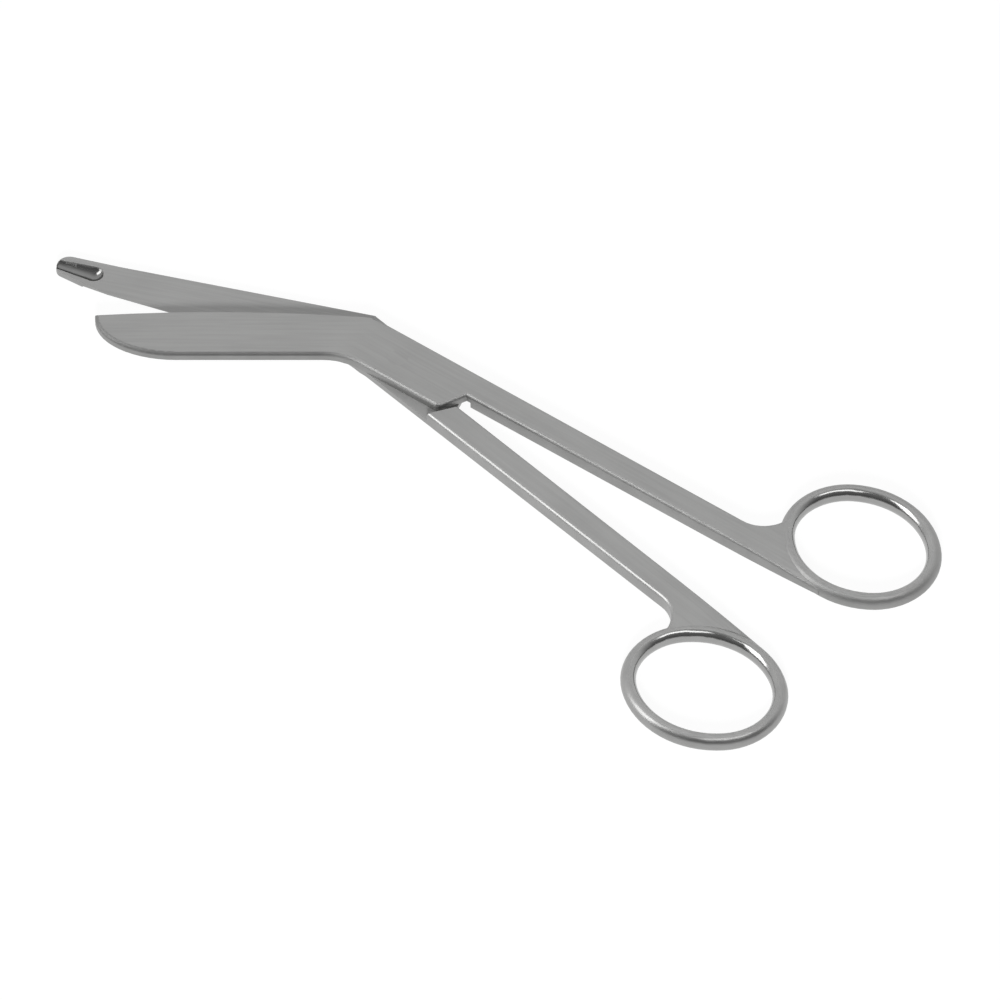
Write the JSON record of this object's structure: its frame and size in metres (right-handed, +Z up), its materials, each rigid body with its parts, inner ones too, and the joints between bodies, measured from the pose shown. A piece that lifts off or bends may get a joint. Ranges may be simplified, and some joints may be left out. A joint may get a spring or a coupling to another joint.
{
  "type": "bandage scissors",
  "caption": "Angled bandage scissors with a blunt upper blade, a lower blade ending in a smooth probe foot, a lapped screw joint, straight shanks and oval finger rings.",
  "frame": {"origin": "middle of the bounding box, on the surface the scissors lie on", "axes": "+X along the handles' mid-line from the blades towards the finger rings, +Y towards the blunt half's ring, +Z up out of the flat side"},
  "size_m": [0.1828, 0.0754, 0.0035],
  "materials": {
    "satin_steel": "satin",
    "screw_steel": "satin"
  },
  "bodies": {
    "lower": {"probe_half": "satin_steel"},
    "upper": {"blunt_half": "satin_steel", "pivot_screw": "screw_steel"}
  },
  "joints": [
    {"name": "pivot", "type": "hinge", "parent": "lower", "child": "upper", "pos_m": [-0.02374, 0.00007, 0], "axis": [0, 0, 1], "range_deg": [-9.5, 90]}
  ]
}
